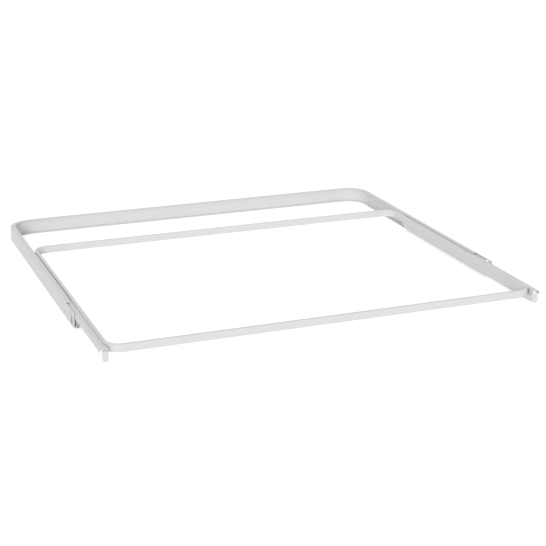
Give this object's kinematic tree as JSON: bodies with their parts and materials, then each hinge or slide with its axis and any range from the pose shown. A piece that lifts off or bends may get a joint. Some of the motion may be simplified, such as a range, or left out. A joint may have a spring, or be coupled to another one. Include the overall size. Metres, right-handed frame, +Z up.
{
  "type": "pull-out cabinet frame",
  "caption": "Low U-shaped channel frame for a wardrobe, with a rectangular flat-bar loop on runners that rolls out of it on nylon rollers to carry a basket or rails.",
  "frame": {"origin": "bottom centre of the whole object in its half-open rest pose", "axes": "+X to the right as seen from the front, -Y to the front, the way the frame pulls out, +Z up"},
  "size_m": [0.7132, 0.685, 0.026],
  "materials": {
    "frame_paint": "satin",
    "roller_nylon": "matte",
    "zinc_plated_steel": "satin"
  },
  "bodies": {
    "outer_frame": {"outer_frame": "frame_paint", "front_axle_left": "zinc_plated_steel", "front_axle_right": "zinc_plated_steel", "front_spacer_left": "zinc_plated_steel", "front_spacer_right": "zinc_plated_steel"},
    "pull_out_frame": {"basket_loop": "frame_paint", "runner_left": "frame_paint", "runner_right": "frame_paint", "rear_axle_left": "zinc_plated_steel", "rear_axle_right": "zinc_plated_steel", "rear_spacer_left": "zinc_plated_steel", "rear_spacer_right": "zinc_plated_steel"},
    "front_roller_left": {"front_roller_left": "roller_nylon"},
    "front_roller_right": {"front_roller_right": "roller_nylon"},
    "rear_roller_left": {"rear_roller_left": "roller_nylon"},
    "rear_roller_right": {"rear_roller_right": "roller_nylon"}
  },
  "joints": [
    {"name": "pull_out", "type": "slide", "parent": "outer_frame", "child": "pull_out_frame", "axis": [0, -1, 0], "range_m": [-0.146, 0.265]},
    {"name": "front_roller_left_turn", "type": "hinge", "parent": "outer_frame", "child": "front_roller_left", "pos_m": [-0.35, -0.1835, 0.0111], "axis": [1, 0, 0], "continuous": true},
    {"name": "front_roller_right_turn", "type": "hinge", "parent": "outer_frame", "child": "front_roller_right", "pos_m": [0.35, -0.1835, 0.0111], "axis": [1, 0, 0], "continuous": true},
    {"name": "rear_roller_left_turn", "type": "hinge", "parent": "pull_out_frame", "child": "rear_roller_left", "pos_m": [-0.35, 0.1165, 0.0125], "axis": [1, 0, 0], "continuous": true},
    {"name": "rear_roller_right_turn", "type": "hinge", "parent": "pull_out_frame", "child": "rear_roller_right", "pos_m": [0.35, 0.1165, 0.0125], "axis": [1, 0, 0], "continuous": true}
  ],
  "couplings": [
    {"joint": "front_roller_left_turn", "follows": "pull_out", "rad_per_m": 90.909},
    {"joint": "front_roller_right_turn", "follows": "pull_out", "rad_per_m": 90.909},
    {"joint": "rear_roller_left_turn", "follows": "pull_out", "rad_per_m": 90.909},
    {"joint": "rear_roller_right_turn", "follows": "pull_out", "rad_per_m": 90.909}
  ]
}
